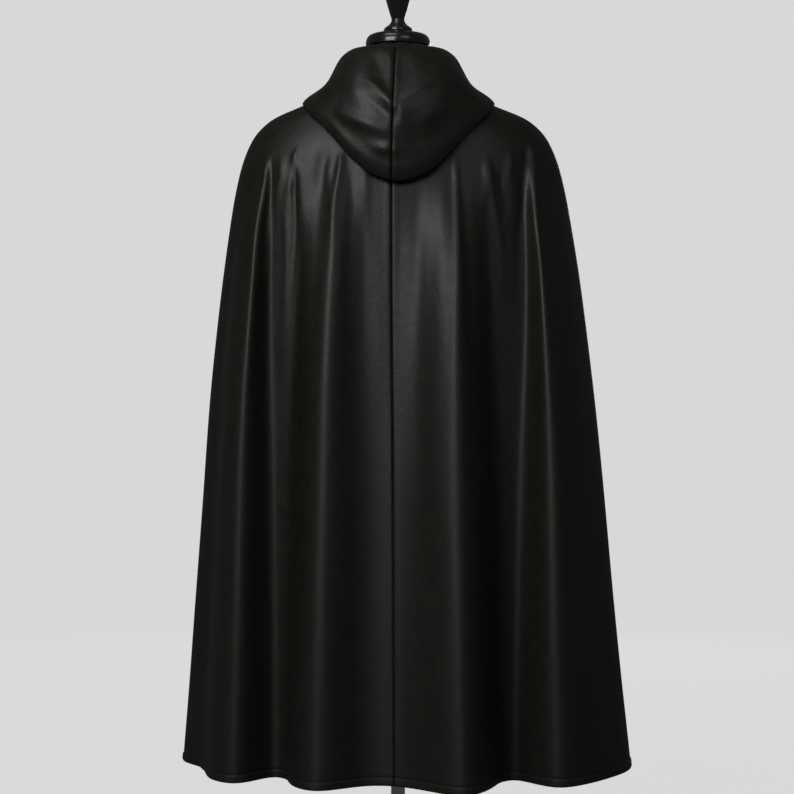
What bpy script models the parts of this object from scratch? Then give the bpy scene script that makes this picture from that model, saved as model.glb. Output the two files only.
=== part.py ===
"""A hooded medieval leather cloak on a limbless dress form, at real size, in metres.

+Z is up, the wearer's left is +X and the wearer's back is +Y. The form stands on the floor at Z = 0.
Run with: blender --background --python part.py
"""

from bisect import bisect_right
from collections import namedtuple
from math import copysign, cos, pi, radians, sin, sqrt

import bmesh
import bpy
from mathutils import Vector

# Cloth and seams
LEATHER = 0.0016          # wall of the cloak and hood
SEAM_GAP = 0.0004         # between two panels at a seam
LAY_GAP = 0.0006          # between a piece and what it lies on
HEM_Z = 0.224             # the cloak hangs level, this far above the floor

# Seams, as angles round the body: 0 is the centre back, positive towards the wearer's left
BACK_SEAM = 1.4
SIDE_SEAM = 92.0
FRONT_EDGE = 179.5

# How many faces a cloth piece has across and down
FACES_PER_FOLD = 3        # between one fold line and the next
SEAM_STEP = 0.8           # the narrow column beside a seam, in degrees
SQUARENESS = 2.3          # of the oval sections: 2 is an ellipse

# Each ring of the bare cloak, without folds: its height at the side, back and front, and its reach from
# the form's axis to the left, right, back and front. The rows of faces below each ring follow.
Ring = namedtuple("Ring", "name z_side z_back z_front left right back front rows")
CLOAK_RINGS = [
    Ring("neckline",   1.442, 1.455, 1.414, 0.068, 0.068, 0.068, 0.076, 1),
    Ring("nape",       1.428, 1.437, 1.399, 0.100, 0.100, 0.082, 0.090, 2),
    Ring("shoulder",   1.3945, 1.398, 1.370, 0.175, 0.177, 0.107, 0.112, 2),
    Ring("tip",        1.371, 1.354, 1.338, 0.2275, 0.2335, 0.124, 0.127, 2),
    Ring("cap",        1.336, 1.316, 1.303, 0.261, 0.2685, 0.133, 0.137, 1),
    Ring("upper_arm",  1.275, 1.262, 1.250, 0.284, 0.2925, 0.143, 0.148, 1),
    Ring("chest",      1.158, 1.152, 1.146, 0.3045, 0.315, 0.160, 0.163, 2),
    Ring("waist",      0.870, 0.870, 0.870, 0.338, 0.3507, 0.204, 0.196, 2),
    Ring("hip",        0.510, 0.510, 0.510, 0.3655, 0.384, 0.258, 0.236, 2),
    Ring("hem",        HEM_Z, HEM_Z, HEM_Z, 0.388, 0.413, 0.300, 0.264, 0),
]

# Each line along which the cloth folds: its angle at the shoulder, the height where the fold starts,
# and the place that its lower end has in the hem. Crests and valleys follow each other round the body.
Fold = namedtuple("Fold", "name angle start_z hem_x hem_y")
FOLDS = [
    Fold("right_front_edge",   -179.5, 1.340, -0.038, -0.262),
    Fold("right_front_valley", -169.0, 1.220, -0.092, -0.205),
    Fold("right_front_crest",  -157.0, 1.240, -0.140, -0.292),
    Fold("right_chest_valley", -141.0, 1.250, -0.222, -0.182),
    Fold("right_chest_crest",  -125.0, 1.270, -0.302, -0.238),
    Fold("right_arm_valley",   -109.0, 1.230, -0.372, -0.092),
    Fold("right_side",          -92.0, 1.200, -0.413, 0.045),
    Fold("right_blade_slope",   -72.0, 1.240, -0.378, 0.176),
    Fold("right_blade_crest",   -51.5, 1.310, -0.265, 0.310),
    Fold("right_blade_valley",  -44.0, 1.290, -0.207, 0.223),
    Fold("right_back_foot",     -28.0, 1.270, -0.172, 0.246),
    Fold("right_back_flank",    -21.0, 1.270, -0.150, 0.322),
    Fold("right_back_crest",    -16.0, 1.260, -0.117, 0.386),
    Fold("right_back_rise",      -3.0, 1.230, -0.021, 0.303),
    Fold("back_seam",             1.4, 1.230, 0.009, 0.281),
    Fold("left_back_valley",      8.5, 1.250, 0.048, 0.278),
    Fold("left_back_crest",      19.0, 1.290, 0.139, 0.340),
    Fold("left_back_flank",      25.0, 1.270, 0.177, 0.288),
    Fold("left_back_foot",       32.0, 1.270, 0.186, 0.222),
    Fold("left_blade_valley",    45.0, 1.290, 0.214, 0.190),
    Fold("left_blade_crest",     55.0, 1.305, 0.277, 0.266),
    Fold("left_blade_flank",     64.0, 1.260, 0.325, 0.206),
    Fold("left_blade_foot",      73.0, 1.240, 0.340, 0.104),
    Fold("left_side",            92.0, 1.200, 0.387, -0.002),
    Fold("left_arm_valley",     108.0, 1.230, 0.345, -0.118),
    Fold("left_chest_crest",    123.0, 1.270, 0.296, -0.240),
    Fold("left_chest_valley",   139.0, 1.250, 0.212, -0.176),
    Fold("left_front_crest",    155.0, 1.240, 0.150, -0.288),
    Fold("left_front_valley",   168.0, 1.220, 0.100, -0.208),
    Fold("left_front_edge",     179.5, 1.340, 0.042, -0.260),
]
FOLD_ROUNDING = 0.04      # how softly a fold grows out of the smooth shoulder
FOLD_EASE = 0.45          # how early it reaches most of its depth: small is early

# The lowered hood, by angle from the centre back to the front: the height of its lowest fold on the
# cloak, the thickness of the bag there, the rim's reach and height, and how far the outer layer stands
# out below and above the middle of the straight line from the fold to the rim.
HoodStation = namedtuple("HoodStation", "angle fold_z bag rim_reach rim_z belly neck")
HOOD_STATIONS = [
    HoodStation(0,    1.260, 0.024, 0.089, 1.493, 0.036, 0.022),
    HoodStation(7,    1.273, 0.024, 0.089, 1.493, 0.035, 0.022),
    HoodStation(14,   1.301, 0.022, 0.088, 1.494, 0.031, 0.020),
    HoodStation(24,   1.340, 0.019, 0.086, 1.495, 0.022, 0.016),
    HoodStation(36,   1.366, 0.015, 0.084, 1.496, 0.011, 0.013),
    HoodStation(55,   1.387, 0.006, 0.080, 1.497, -0.003, 0.010),
    HoodStation(85,   1.400, 0.005, 0.078, 1.499, -0.009, 0.006),
    HoodStation(115,  1.391, 0.007, 0.080, 1.482, -0.010, 0.002),
    HoodStation(145,  1.367, 0.010, 0.086, 1.450, 0.002, 0.004),
    HoodStation(165,  1.368, 0.010, 0.092, 1.430, 0.005, 0.004),
    HoodStation(178,  1.382, 0.009, 0.096, 1.420, 0.004, 0.003),
]
HOOD_LIFT = 0.0026        # the hood's under layer over the cloak, past the neckline seam
HOOD_EDGE = 178.0
HOOD_TURN_IN = 0.006      # how far the face edge turns in over the neck
HOOD_TURN_DOWN = 0.010    # and down
BELLY_AT = 0.36           # where the outer layer stands out, as shares of the line from fold to rim
NECK_AT = 0.78

# Where the hood has its columns, as angles from the back seam to the front edge, and its rows, as shares
# of the outer layer from the rim round the fold, then of the under layer from the fold to the neckline
HOOD_COLUMNS = [7, 14, 21, 28, 35, 43, 52, 62, 73, 85, 97, 109, 121, 133, 145, 156, 167, 176.6]
OUTER_ROWS = [0.0, 0.03, 0.08, 0.15, 0.23, 0.32, 0.41, 0.50, 0.59, 0.68, 0.76, 0.83, 0.88, 0.925, 0.965, 1.0]
UNDER_ROWS = [0.92, 0.78, 0.58, 0.38, 0.18, 0.0]

# The dress form below the part that the cloak rests on: the height of each ring at the side, back and
# front, and its reach
FormRing = namedtuple("FormRing", "name z_side z_back z_front width back front")
FORM_RINGS = [
    FormRing("shoulder_cap",  1.352, 1.330, 1.318, 0.2130, 0.121, 0.125),
    FormRing("armhole_top",   1.322, 1.302, 1.292, 0.2100, 0.122, 0.127),
    FormRing("armhole",       1.265, 1.255, 1.248, 0.1990, 0.121, 0.128),
    FormRing("armhole_foot",  1.205, 1.200, 1.195, 0.1850, 0.118, 0.128),
    FormRing("chest",         1.140, 1.140, 1.140, 0.1770, 0.113, 0.124),
    FormRing("waist",         1.010, 1.010, 1.010, 0.1540, 0.098, 0.107),
    FormRing("high_hip",      0.910, 0.910, 0.910, 0.1650, 0.105, 0.110),
    FormRing("hip",           0.815, 0.815, 0.815, 0.1770, 0.114, 0.113),
    FormRing("foot",          0.740, 0.740, 0.740, 0.1730, 0.111, 0.109),
]
FORM_COLUMNS = 40
FORM_NECK_R = 0.0575
FORM_NECK_TOP = 1.5055
FORM_SHOULDER = 0.2135    # half the width across the shoulder tips
FORM_NECK_FLARE = 0.002   # the neck widens by this much where it meets the shoulders

# Turned pieces of the stand, each as (radius, height) pairs down the outer side
CAP_PROFILE = [(0.0300, 1.5295), (0.0430, 1.5280), (0.0510, 1.5252), (0.0550, 1.5212), (0.0569, 1.5170),
               (0.0580, 1.5115), (0.0580, 1.5075), (0.0572, 1.5058)]
FINIAL_PROFILE = [(0.0022, 1.6750), (0.0052, 1.6725), (0.0068, 1.6675), (0.0060, 1.6620), (0.0075, 1.6570),
                  (0.0135, 1.6490), (0.0200, 1.6385), (0.0242, 1.6250), (0.0250, 1.6120), (0.0240, 1.6000),
                  (0.0218, 1.5896), (0.0195, 1.5806), (0.0168, 1.5716), (0.0142, 1.5626), (0.0120, 1.5560),
                  (0.0117, 1.5530), (0.0134, 1.5484), (0.0172, 1.5438), (0.0224, 1.5400), (0.0253, 1.5368),
                  (0.0259, 1.5340), (0.0252, 1.5298)]
POLE_R = 0.0125
PLATE_R = 0.050
PLATE_THICK = 0.008
BASE_PROFILE = [(0.0200, 0.0400), (0.0240, 0.0385), (0.0260, 0.0200), (0.0320, 0.0160), (0.1300, 0.0120),
                (0.1950, 0.0085), (0.2000, 0.0065), (0.2000, 0.0010), (0.1990, 0.0000)]
BASE_TOP = 0.0400
TURNED_GAP = 0.0003

# The neck closure: a leather tab over the front edges, with a press stud at each end
TAB_HALF_LENGTH = 0.034
TAB_HALF_WIDTH = 0.011
TAB_THICK = 0.0022
TAB_Z = 1.345
STUD_X = 0.022
STUD_R = 0.0065
STUD_HIGH = 0.0035
STUD_SKIRT = 0.0012


def curve(xs, ys, x):
    """The value at x of a smooth curve through the points, which never swings past them."""
    i = min(max(bisect_right(xs, x) - 1, 0), len(xs) - 2)
    secants = [(ys[k + 1] - ys[k]) / (xs[k + 1] - xs[k]) for k in range(len(xs) - 1)]

    def slope(k):
        if k in (0, len(xs) - 1):
            return secants[min(k, len(secants) - 1)]
        before, after = secants[k - 1], secants[k]
        return 0.0 if before * after <= 0 else 2 * before * after / (before + after)

    step = xs[i + 1] - xs[i]
    t = min(max((x - xs[i]) / step, 0.0), 1.0)
    return (ys[i] * (1 + 2 * t) * (1 - t) ** 2 + ys[i + 1] * t * t * (3 - 2 * t)
            + step * (slope(i) * t * (1 - t) ** 2 - slope(i + 1) * t * t * (1 - t)))


# The distance down the side from the neckline to each ring: places on the cloth are counted by it
RING_DROPS = [0.0]
for upper, lower in zip(CLOAK_RINGS, CLOAK_RINGS[1:]):
    run = sqrt((lower.left - upper.left) ** 2 + (lower.z_side - upper.z_side) ** 2)
    RING_DROPS.append(RING_DROPS[-1] + run)
HEM_DROP = RING_DROPS[-1]
REACHES = ("z_side", "z_back", "z_front", "left", "right", "back", "front")


def ring_at(drop):
    """The bare cloak's section, drop metres down from the neckline."""
    return {key: curve(RING_DROPS, [getattr(ring, key) for ring in CLOAK_RINGS], drop) for key in REACHES}


def oval(angle, left, right, back, front):
    """A point of a section, and how far it lies towards the back or front, from 0 at the side to 1."""
    s, c = sin(radians(angle)), cos(radians(angle))
    across = copysign(abs(s) ** (2 / SQUARENESS), s)
    along = copysign(abs(c) ** (2 / SQUARENESS), c)
    return across * (left if s > 0 else right), along * (back if c > 0 else front), along * along


def bare_point(angle, ring):
    """A point of a section, whose height runs from the side's to the back's or front's."""
    x, y, end = oval(angle, ring["left"], ring["right"], ring["back"], ring["front"])
    z_end = ring["z_back"] if y > 0 else ring["z_front"]
    return Vector((x, y, ring["z_side"] + (z_end - ring["z_side"]) * end))


HEM_RING = ring_at(HEM_DROP)
FOLD_ANGLES = [fold.angle for fold in FOLDS]
FOLD_SHIFTS = [Vector((fold.hem_x, fold.hem_y, HEM_Z)) - bare_point(fold.angle, HEM_RING) for fold in FOLDS]


def fold_shift(k, z):
    """How far a fold line has moved at height z: not at all where it starts, and all the way at the hem.
    Its crest or valley runs straight, and its depth comes early and then grows slowly."""
    t = max((FOLDS[k].start_z - z) / (FOLDS[k].start_z - HEM_Z), 0.0)
    sideways = t * t * (1 + FOLD_ROUNDING) / (t + FOLD_ROUNDING)
    depth = sideways * (1 + FOLD_EASE) / (t + FOLD_EASE)
    return Vector((FOLD_SHIFTS[k].x * sideways, FOLD_SHIFTS[k].y * depth, 0.0))


def cloak_point(angle, drop):
    """A point of the cloak's outer face: the bare form, moved by the folds on each side of it."""
    point = bare_point(angle, ring_at(drop))
    k = min(max(bisect_right(FOLD_ANGLES, angle) - 1, 0), len(FOLDS) - 2)
    near = range(max(k - 1, 0), min(k + 3, len(FOLDS)))
    shifts = [fold_shift(line, point.z) for line in near]
    angles = [FOLD_ANGLES[line] for line in near]
    return point + Vector([curve(angles, [shift[axis] for shift in shifts], angle) for axis in range(3)])


def cloak_frame(angle, drop, step=0.004):
    """The point, the outward normal and the way down the cloth."""
    point = cloak_point(angle, drop)
    middle = min(max(angle, FOLD_ANGLES[0] + 1), FOLD_ANGLES[-1] - 1)
    across = cloak_point(middle + 1, drop) - cloak_point(middle - 1, drop)
    down = cloak_point(angle, drop + step) - cloak_point(angle, max(drop - step, 0.0))
    return point, across.cross(down).normalized(), down.normalized()


def drop_at_height(angle, z):
    """How far down the cloth the height z lies, at this angle."""
    low, high = 0.0, HEM_DROP
    for _ in range(40):
        middle = (low + high) / 2
        low, high = (middle, high) if cloak_point(angle, middle).z > z else (low, middle)
    return low


def material(name, colour, roughness, metallic=0.0):
    made = bpy.data.materials.new(name)
    made.use_nodes = True
    shader = made.node_tree.nodes["Principled BSDF"]
    shader.inputs["Base Color"].default_value = (*colour, 1.0)
    shader.inputs["Roughness"].default_value = roughness
    shader.inputs["Metallic"].default_value = metallic
    return made


def add_object(name, mesh, finish, collection):
    obj = bpy.data.objects.new(name, mesh)
    collection.objects.link(obj)
    mesh.materials.append(finish)
    return obj


def cloth_wall(name, across, down, place, finish, collection):
    """A flat grid whose points go to place(i, j), with the leather's thickness on its inner side."""
    grid = bmesh.new()
    bmesh.ops.create_grid(grid, x_segments=across, y_segments=down, size=0.5)
    for vert in grid.verts:
        vert.co = place(round((vert.co.x + 0.5) * across), round((vert.co.y + 0.5) * down))
    mesh = bpy.data.meshes.new(name)
    grid.to_mesh(mesh)
    grid.free()
    mesh.shade_smooth()
    obj = add_object(name, mesh, finish, collection)
    wall = obj.modifiers.new("leather", "SOLIDIFY")
    wall.thickness = LEATHER
    wall.offset = -1
    return obj


def panel_columns(first, last):
    """The angles of a panel's columns: a few between each fold line and the next."""
    lines = sorted({first, last, *(angle for angle in FOLD_ANGLES if first <= angle <= last)})
    columns = [lines[0]]
    for a, b in zip(lines, lines[1:]):
        columns += [a + (b - a) * step / FACES_PER_FOLD for step in range(1, FACES_PER_FOLD + 1)]
    return [first, first + SEAM_STEP, *columns[1:-1], last - SEAM_STEP, last]


def row_drops():
    """How far down each row of a panel lies."""
    drops = [0.0]
    for ring, a, b in zip(CLOAK_RINGS, RING_DROPS, RING_DROPS[1:]):
        drops += [a + (b - a) * step / ring.rows for step in range(1, ring.rows + 1)]
    return drops


def panel(name, first, last, finish, collection):
    """One cut piece of the cloak, from the neckline to the hem between two seams."""
    columns, drops = panel_columns(first, last), row_drops()

    def place(i, j):
        point, normal, down = cloak_frame(columns[i], drops[j])
        sideways = down.cross(normal)
        inwards = {0: 1, len(columns) - 1: -1}.get(i, 0)
        return point + sideways * (inwards * SEAM_GAP / 2)

    return cloth_wall(name, len(columns) - 1, len(drops) - 1, place, finish, collection)


def hood_station(angle):
    """The hood's measures at any angle, the same on both sides of the centre back."""
    mirrored = [station._replace(angle=-station.angle) for station in HOOD_STATIONS[:0:-1]] + HOOD_STATIONS
    angles = [station.angle for station in mirrored]
    return HoodStation(angle, *(curve(angles, [getattr(station, key) for station in mirrored], angle)
                                for key in HoodStation._fields[1:]))


def through(points, share):
    """A point of a smooth curve through the points, at a share of its length from 0 to 1."""
    lengths = [0.0]
    for a, b in zip(points, points[1:]):
        lengths.append(lengths[-1] + (b - a).length)
    at = share * lengths[-1]
    return Vector([curve(lengths, [point[axis] for point in points], at) for axis in range(3)])


def hood_profile(angle):
    """The hood's section at one angle: from the rim down the outer layer, round the fold, then up the
    under layer, which lies on the cloak, to the neckline seam."""
    station = hood_station(angle)
    fold_drop = drop_at_height(angle, station.fold_z)
    seat, normal, down = cloak_frame(angle, fold_drop)
    under = seat + normal * HOOD_LIFT
    outer = under + normal * station.bag - down * (station.bag * 0.4)
    tip = under + normal * (station.bag * 0.42) + down * (station.bag * 0.6)
    x, y, _ = oval(angle, *(station.rim_reach,) * 4)
    rim = Vector((x, y, station.rim_z))
    inward = Vector((-x, -y, 0)).normalized()
    out = (outer - rim).cross(Vector((y, -x, 0))).normalized()
    out = out if out.dot(normal) > 0 else -out
    belly = outer.lerp(rim, BELLY_AT) + out * station.belly
    neck = outer.lerp(rim, NECK_AT) + out * station.neck
    edge = rim + inward * HOOD_TURN_IN - Vector((0, 0, HOOD_TURN_DOWN))
    points = [through([edge, rim, neck, belly, outer, tip, under], share) for share in OUTER_ROWS]
    for share in UNDER_ROWS:
        point, normal, _ = cloak_frame(angle, fold_drop * share)
        points.append(point + normal * (LAY_GAP + (HOOD_LIFT - LAY_GAP) * min(share * 4, 1)))
    return points


def hood_half(name, side, finish, collection):
    """One half of the hood, from the centre back seam to its front edge; side is 1 for the left."""
    beside_seam = BACK_SEAM + side * SEAM_STEP
    angles = [BACK_SEAM, beside_seam, *(side * angle for angle in HOOD_COLUMNS), side * HOOD_EDGE]
    angles = angles if side > 0 else angles[::-1]
    profiles = [hood_profile(angle) for angle in angles]
    end = len(angles) - 1

    def place(i, j):
        point = profiles[i][j]
        beside = profiles[min(max(i, 1), end - 1)][j]
        return point if point == beside else point + (beside - point).normalized() * (SEAM_GAP / 2)

    return cloth_wall(name, end, len(profiles[0]) - 1, place, finish, collection)


def turned(name, profile, finish, collection, sides=32):
    """A turned piece: its profile down the outer side, closed on the axis and spun."""
    outline = bmesh.new()
    points = [(0.0, profile[0][1]), *profile, (0.0, profile[-1][1])]
    verts = [outline.verts.new((radius, 0.0, z)) for radius, z in points]
    for a, b in zip(verts, verts[1:]):
        outline.edges.new((a, b))
    mesh = bpy.data.meshes.new(name)
    outline.to_mesh(mesh)
    outline.free()
    obj = add_object(name, mesh, finish, collection)
    spin = obj.modifiers.new("turned", "SCREW")
    spin.steps = spin.render_steps = sides
    spin.use_merge_vertices = True
    spin.merge_threshold = 0.0001
    spin.use_smooth_shade = True
    return obj


def form_sections():
    """The form's rings from the top down: the neck, the shoulders under the cloak, and the limbless body."""
    angles = [360 * i / FORM_COLUMNS for i in range(FORM_COLUMNS)]
    angles = [angle if angle <= 180 else angle - 360 for angle in angles]
    neckline = ring_at(0.0)
    sections = []
    for radius, lift in ((FORM_NECK_R, None), (FORM_NECK_R, 0.016), (FORM_NECK_R + FORM_NECK_FLARE, 0.004)):
        section = []
        for angle in angles:
            z = FORM_NECK_TOP if lift is None else bare_point(angle, neckline).z + lift
            section.append(Vector((radius * sin(radians(angle)), radius * cos(radians(angle)), z)))
        sections.append(section)
    shoulder_tip = RING_DROPS[[ring.name for ring in CLOAK_RINGS].index("tip")]
    for drop in [drop for drop in row_drops() if drop <= shoulder_tip]:
        section = []
        for angle in angles:
            point, normal, _ = cloak_frame(min(max(angle, -FRONT_EDGE), FRONT_EDGE), drop)
            point = point - normal * (LEATHER + LAY_GAP)
            point.x = min(max(point.x, -FORM_SHOULDER), FORM_SHOULDER) if abs(angle) < 180 else 0.0
            section.append(point)
        sections.append(section)
    for ring in FORM_RINGS:
        reaches = {"z_side": ring.z_side, "z_back": ring.z_back, "z_front": ring.z_front, "left": ring.width,
                   "right": ring.width, "back": ring.back, "front": ring.front}
        sections.append([bare_point(angle, reaches) for angle in angles])
    return sections


def dress_form(finish, collection):
    """The limbless torso and neck, lofted through its sections and closed at both ends."""
    sections = form_sections()
    body = bmesh.new()
    rings = [[body.verts.new(point) for point in section] for section in sections]
    loops = []
    for ring in rings:
        loops.append([body.edges.new((ring[i], ring[(i + 1) % len(ring)])) for i in range(len(ring))])
    for upper, lower in zip(loops, loops[1:]):
        bmesh.ops.bridge_loops(body, edges=upper + lower)
    bmesh.ops.holes_fill(body, edges=loops[0] + loops[-1], sides=0)
    bmesh.ops.recalc_face_normals(body, faces=body.faces)
    mesh = bpy.data.meshes.new("dress_form")
    body.to_mesh(mesh)
    body.free()
    mesh.shade_smooth()
    return add_object("dress_form", mesh, finish, collection)


def front_surface(x, z, lift):
    """The place in front of the chest at x and z, lift metres out from the panels."""
    low, high = 120.0, FRONT_EDGE
    for _ in range(30):
        angle = (low + high) / 2
        point = cloak_point(copysign(angle, x), drop_at_height(copysign(angle, x), z))
        low, high = (angle, high) if abs(point.x) > abs(x) else (low, angle)
    angle = copysign(low, x)
    point, normal, _ = cloak_frame(angle, drop_at_height(angle, z))
    return Vector((x, point.y, z)) + normal * lift


def neck_tab(finish, collection):
    """A leather tab with round ends, laid on both front panels, from their points moved out."""
    across, down = 12, 4
    blunt = 0.3

    def place(i, j):
        x = TAB_HALF_LENGTH * (2 * i / across - 1)
        past = max(abs(x) - TAB_HALF_LENGTH + TAB_HALF_WIDTH, 0.0) / TAB_HALF_WIDTH
        half_width = TAB_HALF_WIDTH * max(sqrt(1 - past * past), blunt)
        return front_surface(x, TAB_Z - half_width * (1 - 2 * j / down), LAY_GAP)

    obj = cloth_wall("neck_tab", across, down, place, finish, collection)
    obj.modifiers["leather"].thickness = TAB_THICK
    obj.modifiers["leather"].offset = 1
    return obj


def stud(name, x, finish, collection):
    """The domed cap of a press stud, upright on the tab."""
    seat = front_surface(x, TAB_Z, LAY_GAP + TAB_THICK + TURNED_GAP)
    above = front_surface(x, TAB_Z, LAY_GAP + TAB_THICK + 2 * TURNED_GAP)
    arc = [pi / 2 * step / 5 for step in range(1, 6)]
    dome = [(STUD_R * sin(a), STUD_SKIRT + (STUD_HIGH - STUD_SKIRT) * cos(a)) for a in arc]
    obj = turned(name, [*dome, (STUD_R, 0.0)], finish, collection, sides=16)
    obj.rotation_mode = "QUATERNION"
    obj.rotation_quaternion = (above - seat).to_track_quat("Z", "Y")
    obj.location = seat
    return obj


def main():
    for obj in list(bpy.data.objects):
        bpy.data.objects.remove(obj)
    collection = bpy.data.collections.new("medieval_cloak_on_dress_form")
    bpy.context.scene.collection.children.link(collection)

    leather = material("black_leather", (0.016, 0.016, 0.015), 0.38)
    jersey = material("black_jersey", (0.020, 0.020, 0.020), 0.90)
    lacquer = material("black_lacquered_wood", (0.010, 0.010, 0.010), 0.22)
    steel = material("bright_steel", (0.70, 0.70, 0.70), 0.20, 1.0)
    black_metal = material("black_metal", (0.02, 0.02, 0.02), 0.35, 0.0)

    panel("back_left", BACK_SEAM, SIDE_SEAM, leather, collection)
    panel("back_right", -SIDE_SEAM, BACK_SEAM, leather, collection)
    panel("front_left", SIDE_SEAM, FRONT_EDGE, leather, collection)
    panel("front_right", -FRONT_EDGE, -SIDE_SEAM, leather, collection)
    hood_half("hood_left", 1, leather, collection)
    hood_half("hood_right", -1, leather, collection)
    neck_tab(leather, collection)
    stud("stud_left", STUD_X, black_metal, collection)
    stud("stud_right", -STUD_X, black_metal, collection)

    dress_form(jersey, collection)
    turned("neck_cap", CAP_PROFILE, lacquer, collection, sides=32)
    turned("finial", FINIAL_PROFILE, lacquer, collection, sides=24)
    foot = FORM_RINGS[-1].z_side - TURNED_GAP
    turned("torso_plate", [(PLATE_R, foot), (PLATE_R, foot - PLATE_THICK)], black_metal, collection, sides=24)
    pole_top = foot - PLATE_THICK - TURNED_GAP
    turned("pole", [(POLE_R, pole_top), (POLE_R, BASE_TOP + TURNED_GAP)], steel, collection, sides=24)
    turned("base", BASE_PROFILE, black_metal, collection, sides=48)


main()
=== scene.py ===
"""A hooded black leather cloak on a limbless dress form, seen from the wearer's back.

Metres, +Z up. The wearer's left is +X and the wearer's back is +Y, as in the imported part.
"""

from collections import namedtuple
from math import cos, hypot, pi, radians, sin

import bmesh
import bpy
import numpy as np
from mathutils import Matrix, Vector, noise


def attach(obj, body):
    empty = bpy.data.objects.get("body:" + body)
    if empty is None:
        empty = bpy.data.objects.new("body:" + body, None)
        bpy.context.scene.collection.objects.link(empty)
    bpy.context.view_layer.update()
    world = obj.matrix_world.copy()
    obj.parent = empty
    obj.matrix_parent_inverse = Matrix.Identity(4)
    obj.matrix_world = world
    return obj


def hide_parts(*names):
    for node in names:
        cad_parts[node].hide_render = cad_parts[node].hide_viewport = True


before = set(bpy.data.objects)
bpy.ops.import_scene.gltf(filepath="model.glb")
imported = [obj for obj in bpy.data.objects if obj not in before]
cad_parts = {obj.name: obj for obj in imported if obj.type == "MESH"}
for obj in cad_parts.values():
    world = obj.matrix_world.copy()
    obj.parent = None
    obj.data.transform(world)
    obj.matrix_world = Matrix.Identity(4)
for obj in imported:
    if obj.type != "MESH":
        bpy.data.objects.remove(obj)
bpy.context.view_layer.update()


# The stand: a heavy round plate of turned steel with a raised socket, a polished steel tube, and a flange
# that screws under the torso. The plate and flange are powder-coated black, a fine satin orange peel.

def linear(hex_colour):
    """An sRGB hex colour as a linear one with alpha."""
    parts = [int(hex_colour[i:i + 2], 16) / 255 for i in (1, 3, 5)]
    return (*(p / 12.92 if p <= 0.04045 else ((p + 0.055) / 1.055) ** 2.4 for p in parts), 1.0)


def new_material(name, colour, roughness, metallic=0.0):
    made = bpy.data.materials.new(name)
    made.use_nodes = True
    shader = made.node_tree.nodes["Principled BSDF"]
    shader.inputs["Base Color"].default_value = linear(colour)
    shader.inputs["Roughness"].default_value = roughness
    shader.inputs["Metallic"].default_value = metallic
    return made, shader


def add_node(material, kind, inputs, **settings):
    """Adds a node; an input is a value, or another node's output to link."""
    made = material.node_tree.nodes.new(kind)
    for name, value in settings.items():
        setattr(made, name, value)
    for socket, value in inputs.items():
        if isinstance(value, bpy.types.NodeSocket):
            material.node_tree.links.new(value, made.inputs[socket])
        else:
            made.inputs[socket].default_value = value
    return made


def smooth_curve(xs, ys, x):
    """The values at x of a smooth curve through the points, which never swings past them."""
    xs, ys, x = np.asarray(xs, float), np.asarray(ys, float), np.asarray(x, float)
    steps = np.diff(xs)
    secants = np.diff(ys) / steps
    before, after = secants[:-1], secants[1:]
    same_way = before * after > 0
    inner = np.where(same_way, 2 * before * after / np.where(same_way, before + after, 1), 0)
    slopes = np.concatenate([secants[:1], inner, secants[-1:]])
    k = np.clip(np.searchsorted(xs, x, side="right") - 1, 0, len(xs) - 2)
    t = np.clip((x - xs[k]) / steps[k], 0, 1)
    return (ys[k] * (1 + 2 * t) * (1 - t) ** 2 + ys[k + 1] * t * t * (3 - 2 * t)
            + steps[k] * (slopes[k] * t * (1 - t) ** 2 - slopes[k + 1] * t * t * (1 - t)))


def along_points(points, shares):
    """Points at shares of the length of a smooth curve through the given ones."""
    points = np.asarray(points, float)
    lengths = np.concatenate([[0.0], np.cumsum(np.linalg.norm(np.diff(points, axis=0), axis=1))])
    at = np.asarray(shares) * lengths[-1]
    return np.stack([smooth_curve(lengths, points[:, axis], at) for axis in range(points.shape[1])], axis=-1)


def finish_piece(name, mesh_source, material, slot, *nodes):
    """Makes a bmesh into a smooth object that stands for the CAD nodes named."""
    mesh = bpy.data.meshes.new(name)
    mesh_source.to_mesh(mesh)
    mesh_source.free()
    mesh.shade_smooth()
    mesh.materials.append(material)
    piece = bpy.data.objects.new(name, mesh)
    bpy.context.scene.collection.objects.link(piece)
    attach(piece, "root")
    if nodes:
        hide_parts(*nodes)
    return piece


def turned(name, profile, material, slot, node, points=60, sides=96):
    """A turned piece from its outer profile, (radius, height) pairs from the top down."""
    outline = [(0.0, profile[0][1]), *along_points(profile, np.linspace(0, 1, points)), (0.0, profile[-1][1])]
    lathe = bmesh.new()
    verts = [lathe.verts.new((radius, 0.0, z)) for radius, z in outline]
    edges = [lathe.edges.new(pair) for pair in zip(verts, verts[1:])]
    bmesh.ops.spin(lathe, geom=verts + edges, axis=(0, 0, 1), angle=2 * pi, steps=sides, use_merge=True)
    bmesh.ops.remove_doubles(lathe, verts=lathe.verts, dist=1e-6)
    bmesh.ops.recalc_face_normals(lathe, faces=lathe.faces)
    piece = finish_piece(name, lathe, material, slot, node)
    piece.data.set_sharp_from_angle(angle=radians(50))
    return piece


powder_coat, coat_shader = new_material("powder_coated_steel", "#1c1c1c", 0.42)
place = add_node(powder_coat, "ShaderNodeTexCoord", {})
peel = add_node(powder_coat, "ShaderNodeTexNoise", {"Vector": place.outputs["Object"], "Scale": 900.0})
peel_bump = add_node(powder_coat, "ShaderNodeBump", {"Height": peel.outputs["Fac"], "Strength": 0.12,
                                                     "Distance": 0.0004})
powder_coat.node_tree.links.new(peel_bump.outputs["Normal"], coat_shader.inputs["Normal"])

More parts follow.
